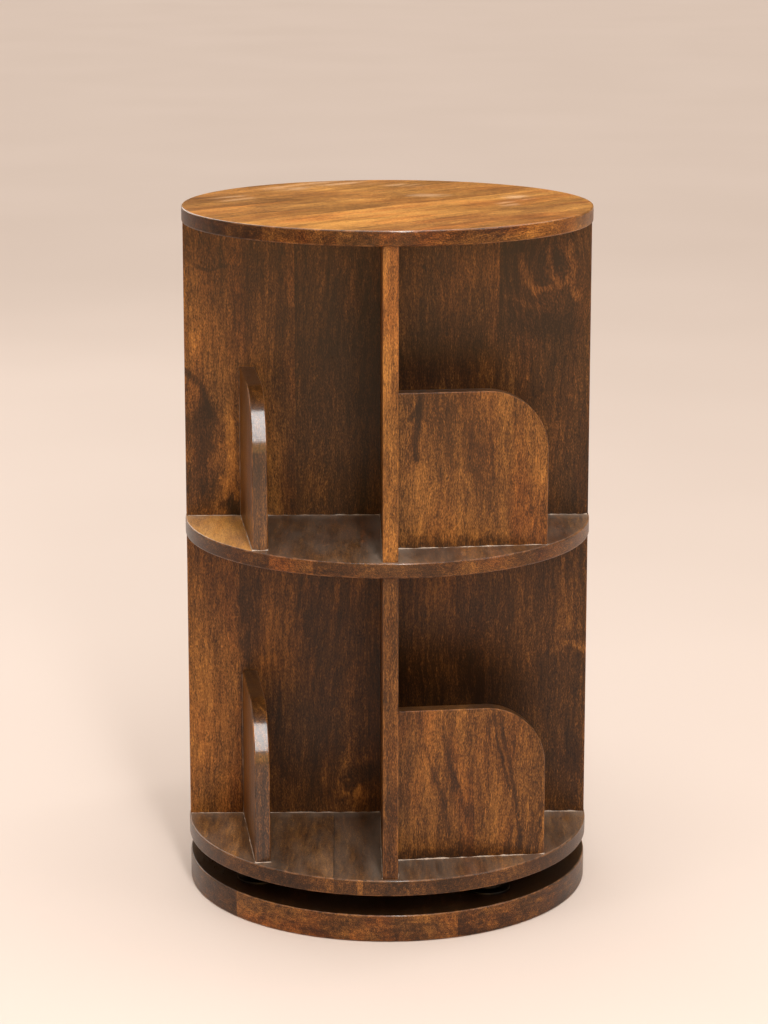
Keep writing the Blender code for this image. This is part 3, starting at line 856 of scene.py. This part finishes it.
class BOOKCASE_OT_dividers(bpy.types.Operator):
    """Make the front and rear dividers of both storeys"""

    bl_idname = "bookcase.dividers"
    bl_label = "Dividers"

    tones = {"upper": (0.09, 0.45), "lower": (-0.03, 0.25)}

    def execute(self, context):
        boards, finishes = context.scene.bookcase_boards, context.scene.bookcase_finishes
        wood = stained_wood("divider_wood", finishes)
        number = FIRST_STAVE["divider"]
        for storey in SHELVES:
            tone, warmth = self.tones[storey]
            for side, sign in (("front", -1), ("rear", 1)):
                node = f"{storey}_{side}_divider"
                board = upright(node, boards.bedding, boards.edge_easing)
                staves = ((0.112, tone - 0.1, warmth / 2), (0.3, tone, warmth))
                board.glue_up(Vector((0, sign, 0)), staves, number)
                publish_board(f"{node}_board", board, wood, node)
                number += 2
        return {"FINISHED"}


def outline_face(face):
    """True of a stop's narrow faces, before the stop is turned to its place."""
    return abs(face.normal.y) < 0.5


def stop_length(boards, radius, face):
    """Length of a stop's outer face, from its panel to its corner inside the rim."""
    start = Vector((face, boards.stop_inset - radius))
    along = start.dot(Vector((math.cos(boards.stop_splay), math.sin(boards.stop_splay))))
    reach = radius - boards.stop_setback
    return math.sqrt(along**2 - start.length_squared + reach**2) - along


def stop_blank(boards, length, height, thickness):
    """A stop in its own frame: X along its outer face, Y through it, Z up, with one round corner."""
    board = Board()
    shape = board.shape
    corner = boards.stop_corner
    lead = thickness * math.tan(boards.stop_splay)
    foot = -boards.bedding
    outline = [(-lead, foot), (length, foot)]
    for step in range(ARC_STEPS + 1):
        angle = math.pi / 2 * step / ARC_STEPS
        outline.append((
            length - corner * (1 - math.cos(angle)), height - corner * (1 - math.sin(angle)),
        ))
    outline.append((-lead, height))
    face = shape.faces.new([shape.verts.new((x, 0, z)) for x, z in outline])
    moved = grow(shape, [face])[0]
    bmesh.ops.translate(shape, verts=moved, vec=(0, thickness, 0))
    slope = Vector((-math.cos(boards.stop_splay), math.sin(boards.stop_splay), 0))
    board.cut(slope * boards.bedding, slope, clear=True)
    bmesh.ops.holes_fill(shape, edges=[line for line in shape.edges if line.is_boundary])
    bmesh.ops.recalc_face_normals(shape, faces=shape.faces[:])
    free = [
        line for line in shape.edges
        if line.calc_face_angle(0) > SHARP_ANGLE
        and max(vert.co.z for vert in line.verts) > foot + EDGE_MARGIN
        and max(vert.co.x for vert in line.verts) > lead + EDGE_MARGIN
    ]
    board.ease(free, boards.edge_easing)
    return board


class BOOKCASE_OT_stops(bpy.types.Operator):
    """Make the low book stops, four in each storey"""

    bl_idname = "bookcase.stops"
    bl_label = "Book stops"

    staves = {
        "upper": ((0.098, -0.06, 0.20), (0.3, -0.04, 0.50)),
        "lower": ((0.077, -0.09, 0.40), (0.3, -0.05, 0.20)),
    }
    # Spots of lighter or darker stain on the stops; the two thin dark strips along their feet are painted
    # shade where they stand on the shelves.
    stain_and_shade_spots = (
        on_wall(0.014, 0.535, 0.012, 0.020, -0.10), on_wall(0.092, 0.460, 0.016, 0.080, -0.13),
        on_wall(0.028, 0.435, 0.022, 0.034, 0.07), on_wall(0.060, 0.383, 0.080, 0.009, -0.20),
        on_wall(0.150, 0.460, 0.012, 0.034, 0.10), on_wall(0.060, 0.066, 0.080, 0.010, -0.20),
        on_wall(0.071, 0.150, 0.006, 0.090, 0.14), on_wall(0.060, 0.095, 0.012, 0.026, 0.08),
    )
    veins = (
        (((0.031, 0.538), (0.028, 0.511), (0.024, 0.486), (0.026, 0.470)), 0.0042, -0.24),
        (((0.019, 0.506), (0.027, 0.520)), 0.0032, -0.20),
        (((0.108, 0.210), (0.116, 0.168), (0.124, 0.126), (0.131, 0.069)), 0.0024, -0.16),
        (((0.101, 0.216), (0.109, 0.173), (0.119, 0.132)), 0.0016, -0.16),
        (((0.051, 0.206), (0.061, 0.154), (0.076, 0.107)), 0.0035, -0.14),
        (((0.033, 0.182), (0.050, 0.132), (0.059, 0.091)), 0.0030, -0.12),
    )

    def execute(self, context):
        boards, finishes = context.scene.bookcase_boards, context.scene.bookcase_finishes
        wood = stained_wood("stop_wood", finishes, stain_and_shade_spots=self.stain_and_shade_spots, veins=self.veins, figure=0.2)
        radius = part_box("middle_shelf")[1].x
        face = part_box("upper_cross_panel")[1].y
        length = stop_length(boards, radius, face)
        number = FIRST_STAVE["stop"]
        for storey, shelf in SHELVES.items():
            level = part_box(shelf)[1].z
            for quarter, quarter_name in enumerate(QUARTERS):
                node = f"{storey}_stop_{quarter_name}"
                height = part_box(node)[1].z - level
                board = stop_blank(boards, length, height, 2 * face)
                board.glue_up(Vector((1, 0, 0)), self.staves[storey], number)
                board.tint(outline_face, UP, ((1.0, -0.16, 0.0),))
                board.polish(outline_face, 0.6)
                place = (
                    Matrix.Rotation(quarter * math.pi / 2, 4, "Z")
                    @ Matrix.Translation((face, boards.stop_inset - radius, level))
                    @ Matrix.Rotation(boards.stop_splay, 4, "Z")
                )
                bmesh.ops.transform(board.shape, verts=board.shape.verts[:], matrix=place)
                publish_board(f"{node}_board", board, wood, node)
                number += 3
        return {"FINISHED"}


def wax_bead(shape, start, end, first, second, width, chance):
    """Runs a small uneven three-sided bead along a joint, between two faces' directions."""
    run = end - start
    steps = max(3, round(run.length / WAX_STEP))
    corners = [start, start + first * width, start + second * width]
    tip = shape.faces.new([shape.verts.new(corner) for corner in corners])
    for step in range(1, steps + 1):
        ring, caps = grow(shape, [tip])
        if step > 1:
            bmesh.ops.delete(shape, geom=[tip], context="FACES_ONLY")
        tip = caps[0]
        bmesh.ops.translate(shape, verts=ring, vec=run / steps)
        foot = start + run * (step / steps)
        size = width * max(WAX_LEAST, min(WAX_MOST, chance.gauss(WAX_MEAN, WAX_DEVIATION)))
        for vert in ring:
            reach = vert.co - foot
            if reach.length > 1e-6:
                vert.co = foot + reach.normalized() * size


class BOOKCASE_OT_wax(bpy.types.Operator):
    """Make the dried wax that lines the joints between the shelves and what stands on them"""

    bl_idname = "bookcase.wax"
    bl_label = "Wax in the joints"

    def execute(self, context):
        boards, finishes = context.scene.bookcase_boards, context.scene.bookcase_finishes
        wax = plain_stuff("dried_wax", finishes.wax, 0.6, (240, 240, 240), 0.35)
        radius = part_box("middle_shelf")[1].x
        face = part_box("upper_cross_panel")[1].y
        cross_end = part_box("upper_cross_panel")[1].x - boards.edge_easing
        divider_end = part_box("upper_rear_divider")[1].y - boards.edge_easing
        length = stop_length(boards, radius, face)
        chance = random.Random(5)
        for storey, shelf in SHELVES.items():
            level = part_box(shelf)[1].z
            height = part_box(f"{storey}_stop_front_right")[1].z - level
            shape = bmesh.new()
            for quarter in range(len(QUARTERS)):
                self.line_quarter(
                    shape, boards, chance, quarter, level, height,
                    (face, cross_end, divider_end, length, radius),
                )
            bmesh.ops.recalc_face_normals(shape, faces=shape.faces[:])
            publish(f"{storey}_wax_lines", shape, wax, "case", "stained_wood")
        return {"FINISHED"}

    def line_quarter(self, shape, boards, chance, quarter, level, height, sizes):
        """Beads along the uprights' feet and corners in one quarter of a storey."""
        face, cross_end, divider_end, length, radius = sizes
        turn = Matrix.Rotation(quarter * math.pi / 2, 3, "Z")
        ends = (cross_end, divider_end) if quarter % 2 == 0 else (divider_end, cross_end)
        right, back = Vector((1, 0, 0)), Vector((0, 1, 0))
        along = Matrix.Rotation(boards.stop_splay, 3, "Z") @ right
        through = Matrix.Rotation(boards.stop_splay, 3, "Z") @ back
        corner = Vector((face, -face, 0))
        root = Vector((face, boards.stop_inset - radius, 0))
        inner = root + through * (2 * face) + along * (2 * face * math.tan(boards.stop_splay))
        outer = root + along * length
        top = UP * (height - UPRIGHT_WAX_DROP)
        runs = (
            (corner, Vector((ends[0], -face, 0)), -back, UP),
            (corner, Vector((face, -ends[1], 0)), right, UP),
            (root, outer, -through, UP),
            (outer, outer + through * (2 * face), along, UP),
            (inner, outer + through * (2 * face), through, UP),
            (root, root + top, -through, right),
            (inner, inner + top, through, right),
        )
        for start, end, first, second in runs:
            lift = UP * level
            width = boards.wax_width if second is UP else boards.wax_width * UPRIGHT_WAX_SHARE
            wax_bead(
                shape, turn @ start + lift, turn @ end + lift, turn @ first, turn @ second, width,
                chance,
            )


def lathe(profile, centre, steps):
    """A closed turned shape from (radius, height) points that start and end on the axis."""
    shape = bmesh.new()
    points = [shape.verts.new((radius, 0, height)) for radius, height in profile]
    lines = [shape.edges.new(pair) for pair in zip(points, points[1:])]
    bmesh.ops.spin(
        shape, geom=points + lines, cent=(0, 0, 0), axis=UP, dvec=(0, 0, 0), angle=math.tau,
        steps=steps, use_merge=True,
    )
    bmesh.ops.remove_doubles(shape, verts=shape.verts[:], dist=1e-6)
    bmesh.ops.recalc_face_normals(shape, faces=shape.faces[:])
    for line in shape.edges:
        line.smooth = line.calc_face_angle(0) < SHARP_ANGLE
    for face in shape.faces:
        face.smooth = True
    bmesh.ops.translate(shape, verts=shape.verts[:], vec=centre)
    return shape


def arc(radius, centre_height, first, last, steps):
    """Points on a circle about the axis, from one elevation to another."""
    angles = [first + (last - first) * step / steps for step in range(steps + 1)]
    return [(radius * math.cos(a), centre_height + radius * math.sin(a)) for a in angles]


class BOOKCASE_OT_rollers(bpy.types.Operator):
    """Make the ball rollers on the base: housings, balls and cross-headed screws"""

    bl_idname = "bookcase.rollers"
    bl_label = "Ball rollers"

    def execute(self, context):
        finishes = context.scene.bookcase_finishes
        steel = metal("burnished_steel", finishes.steel, 0.42, 0.12)
        polished = metal("ball_steel_finish", finishes.ball, 0.14, 0.02)
        for number in range(1, 5):
            housing = f"roller_{number}_housing"
            low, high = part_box(housing)
            ball_low, ball_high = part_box(f"roller_{number}_ball")
            centre = (ball_low + ball_high) / 2
            foot = Vector((centre.x, centre.y, low.z))
            ball_radius = (ball_high.z - ball_low.z) / 2
            profile = self.housing_profile(high - low, ball_radius, centre.z - low.z)
            turned = lathe(profile, foot, HOUSING_STEPS)
            publish(f"{housing}_turned", turned, steel, "base", "zinc_steel", housing)
            half_circle = arc(ball_radius, 0, math.pi / 2, -math.pi / 2, BALL_STEPS // 2)
            ball = lathe(half_circle, centre, BALL_STEPS)
            publish(
                f"roller_{number}_ball_ground", ball, polished, f"roller_{number}_ball", "ball_steel",
                f"roller_{number}_ball",
            )
            for side in "ab":
                node = f"roller_{number}_screw_{side}"
                publish(f"{node}_driven", self.screw(node), steel, "base", "zinc_steel", node)
        return {"FINISHED"}

    @staticmethod
    def housing_profile(size, ball_radius, ball_height):
        """Socket, rolled lip, cup and screw flange of a housing."""
        socket = ball_radius + SOCKET_CLEARANCE
        lip = size.z - ball_height
        lip_angle = math.asin(lip / socket)
        profile = arc(socket, ball_height, -math.pi / 2, lip_angle, 20)
        profile[0] = (0, ball_height - socket)
        crest = arc(LIP_ROLL, size.z - LIP_ROLL, math.pi / 2, 0, 6)
        profile += [(CUP_RADIUS - LIP_ROLL + radius, height) for radius, height in crest]
        for outwards, upwards in ((0, 0.0015), (0.0004, 0.0006), (0.0013, 0)):
            profile.append((CUP_RADIUS + outwards, FLANGE_THICKNESS + upwards))
        flange = size.x / 2
        edge = arc(FLANGE_EASING, FLANGE_THICKNESS - FLANGE_EASING, math.pi / 2, 0, 5)
        profile += [(flange - FLANGE_EASING + radius, height) for radius, height in edge]
        return profile + [(flange, 0), (0, 0)]

    @staticmethod
    def screw(node):
        """A round-headed screw with a cross cut in its head."""
        low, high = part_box(node)
        centre = (low + high) / 2
        head, seat = (high.x - low.x) / 2, high.z - HEAD_RISE
        point = low.z - seat
        profile = [(0, HEAD_RISE)]
        for angle in (1.2, 0.9, 0.6, 0.3, 0.0):
            profile.append((head * math.cos(angle), HEAD_RISE * math.sin(angle)))
        profile += [(SHANK_RADIUS, 0), (SHANK_RADIUS, point + POINT_LENGTH), (0, point)]
        shape = lathe(profile, (0, 0, 0), SCREW_STEPS)
        for turn in (0, math.pi / 2):
            across = Matrix.Rotation(turn, 3, "Z")
            for side in (-SLOT_HALF_WIDTH, SLOT_HALF_WIDTH):
                bmesh.ops.bisect_plane(
                    shape, geom=shape.verts[:] + shape.edges[:] + shape.faces[:],
                    plane_co=across @ Vector((0, side, 0)), plane_no=across @ Vector((0, 1, 0)),
                )
        bmesh.ops.dissolve_degenerate(shape, dist=1e-5, edges=shape.edges[:])
        centres = {face: face.calc_center_median() for face in shape.faces}
        slot = [
            face for face, middle in centres.items()
            if middle.z > HEAD_RISE * 0.55 and min(abs(middle.x), abs(middle.y)) < SLOT_HALF_WIDTH
        ]
        moved = grow(shape, slot)[0]
        bmesh.ops.delete(shape, geom=slot, context="FACES_ONLY")
        bmesh.ops.translate(shape, verts=moved, vec=(0, 0, -SLOT_DEPTH))
        bmesh.ops.translate(shape, verts=shape.verts[:], vec=(centre.x, centre.y, seat))
        return shape


class BOOKCASE_OT_fittings(bpy.types.Operator):
    """Give the pivot and the dowels, whose shapes are already right, their finishes"""

    bl_idname = "bookcase.fittings"
    bl_label = "Pivot and dowels"

    def execute(self, context):
        finishes = context.scene.bookcase_finishes
        steel = metal("pivot_steel", finishes.steel, 0.36, 0.10)
        nylon = plain_stuff("bush_nylon", finishes.nylon, 0.45, (300, 300, 300), 0.06)
        beech = plain_stuff("dowel_beech", finishes.dowel, 0.65, (900, 900, 60), 0.22)
        for name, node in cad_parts.items():
            if name.startswith("dowel"):
                node.data.materials[0] = beech
            elif name == "pivot_bush":
                node.data.materials[0] = nylon
            elif name.startswith("pivot"):
                node.data.materials[0] = steel
        return {"FINISHED"}


def soft_box(name, place, aim, width, height, power, colour, spread=math.pi):
    """A rectangular studio lamp at a place, aimed at a point."""
    lamp = bpy.data.lights.new(name, "AREA")
    lamp.shape = "RECTANGLE"
    lamp.size = width
    lamp.size_y = height
    lamp.energy = power
    lamp.color = colour
    lamp.spread = spread
    holder = bpy.data.objects.new(name, lamp)
    holder.location = place
    holder.rotation_euler = (Vector(aim) - Vector(place)).to_track_quat("-Z", "Y").to_euler()
    holder.visible_camera = False
    bpy.context.scene.collection.objects.link(holder)


class BOOKCASE_OT_stage(bpy.types.Operator):
    """Make the plain floor, the soft studio light and the camera"""

    bl_idname = "bookcase.stage"
    bl_label = "Stage"

    def execute(self, context):
        stage = context.scene.bookcase_stage
        self.floor(stage)
        self.room(context, stage)
        middle = (0, 0, 0.36)
        soft_box("front_strip", (0.21, -1.48, 1.80), middle, 0.20, 2.2, stage.front_power, LAMP_WHITE)
        soft_box(
            "warm_box", (0, -3.0, 0.62), middle, 3.2, 0.9, stage.warm_power, (1, 0.55, 0.20),
            math.radians(110),
        )
        soft_box("side_box", (2.6, -1.6, 1.3), middle, 1.2, 1.8, stage.side_power, LAMP_WHITE)
        soft_box("rear_box", (-1.5, 2.7, 1.8), middle, 1.8, 1.8, stage.rear_power, (1, 0.97, 0.94))
        soft_box(
            "ceiling_strip", (0.12, -0.12, 2.3), (0.04, 0, 0.7), 1.1, 0.10, stage.ceiling_power,
            LAMP_WHITE,
        )
        self.camera(context, stage)
        context.scene.view_settings.view_transform = "Standard"
        return {"FINISHED"}

    @staticmethod
    def floor(stage):
        finish = Finish("floor_finish", 0.55)
        cloud = finish.noise(finish.place(), (1.4, 1.4, 1.4), 2.0)
        finish.fill(
            finish.shader, Base_Color=finish.shades(cloud, stage.floor_colour, 0.97, 1.0),
            Roughness=finish.total(0.55, (cloud, 0.1)),
        )
        shape = bmesh.new()
        bmesh.ops.create_grid(shape, x_segments=4, y_segments=4, size=20)
        bmesh.ops.translate(shape, verts=shape.verts[:], vec=(0, 0, -FLOOR_DROP))
        floor = show("floor", shape, finish.material)

    @staticmethod
    def room(context, stage):
        world = bpy.data.worlds.new("studio")
        world.use_nodes = True
        nodes, links = world.node_tree.nodes, world.node_tree.links
        split = nodes.new("ShaderNodeSeparateXYZ")
        links.new(nodes.new("ShaderNodeTexCoord").outputs["Generated"], split.inputs[0])
        band = nodes.new("ShaderNodeValToRGB")
        links.new(split.outputs["Z"], band.inputs[0])
        fill_ramp(band.color_ramp, ((0.36, stage.horizon_colour), (0.72, stage.zenith_colour)))
        sky = nodes["Background"]
        links.new(band.outputs["Color"], sky.inputs["Color"])
        sky.inputs["Strength"].default_value = stage.sky_strength
        context.scene.world = world

    @staticmethod
    def camera(context, stage):
        data = bpy.data.cameras.new("camera")
        data.lens = stage.camera_lens
        data.sensor_width = 36
        data.shift_y = stage.camera_rise
        camera = bpy.data.objects.new("camera", data)
        camera.location = (
            stage.camera_distance * math.sin(stage.camera_bearing),
            -stage.camera_distance * math.cos(stage.camera_bearing),
            stage.camera_height,
        )
        camera.rotation_euler = (math.pi / 2 - stage.camera_pitch, 0, stage.camera_heading)
        context.scene.collection.objects.link(camera)
        context.scene.camera = camera


STEPS = (
    BOOKCASE_OT_top, BOOKCASE_OT_shelves, BOOKCASE_OT_base, BOOKCASE_OT_cross_panels,
    BOOKCASE_OT_dividers, BOOKCASE_OT_stops, BOOKCASE_OT_wax, BOOKCASE_OT_rollers,
    BOOKCASE_OT_fittings, BOOKCASE_OT_stage,
)
SETTINGS = {
    "bookcase_boards": BOOKCASE_PG_boards,
    "bookcase_finishes": BOOKCASE_PG_finishes,
    "bookcase_stage": BOOKCASE_PG_stage,
}


class BOOKCASE_PT_panel(bpy.types.Panel):
    """Lists the bookcase's steps and settings"""

    bl_idname = "BOOKCASE_PT_panel"
    bl_label = "Revolving Bookcase"
    bl_space_type = "VIEW_3D"
    bl_region_type = "UI"
    bl_category = "Bookcase"

    def draw(self, context):
        for step in STEPS:
            self.layout.operator(step.bl_idname)
        for name, group in SETTINGS.items():
            box = self.layout.box()
            for key in group.__annotations__:
                box.prop(getattr(context.scene, name), key)


CLASSES = (*SETTINGS.values(), *STEPS, BOOKCASE_PT_panel)


def register():
    for item in CLASSES:
        bpy.utils.register_class(item)
    for name, group in SETTINGS.items():
        setattr(bpy.types.Scene, name, PointerProperty(type=group))


def unregister():
    for name in SETTINGS:
        delattr(bpy.types.Scene, name)
    for item in reversed(CLASSES):
        bpy.utils.unregister_class(item)


def main():
    register()
    bpy.ops.bookcase.top()
    bpy.ops.bookcase.shelves()
    bpy.ops.bookcase.base()
    bpy.ops.bookcase.cross_panels()
    bpy.ops.bookcase.dividers()
    bpy.ops.bookcase.stops()
    bpy.ops.bookcase.wax()
    bpy.ops.bookcase.rollers()
    bpy.ops.bookcase.fittings()
    bpy.ops.bookcase.stage()


if __name__ == "__main__":
    main()
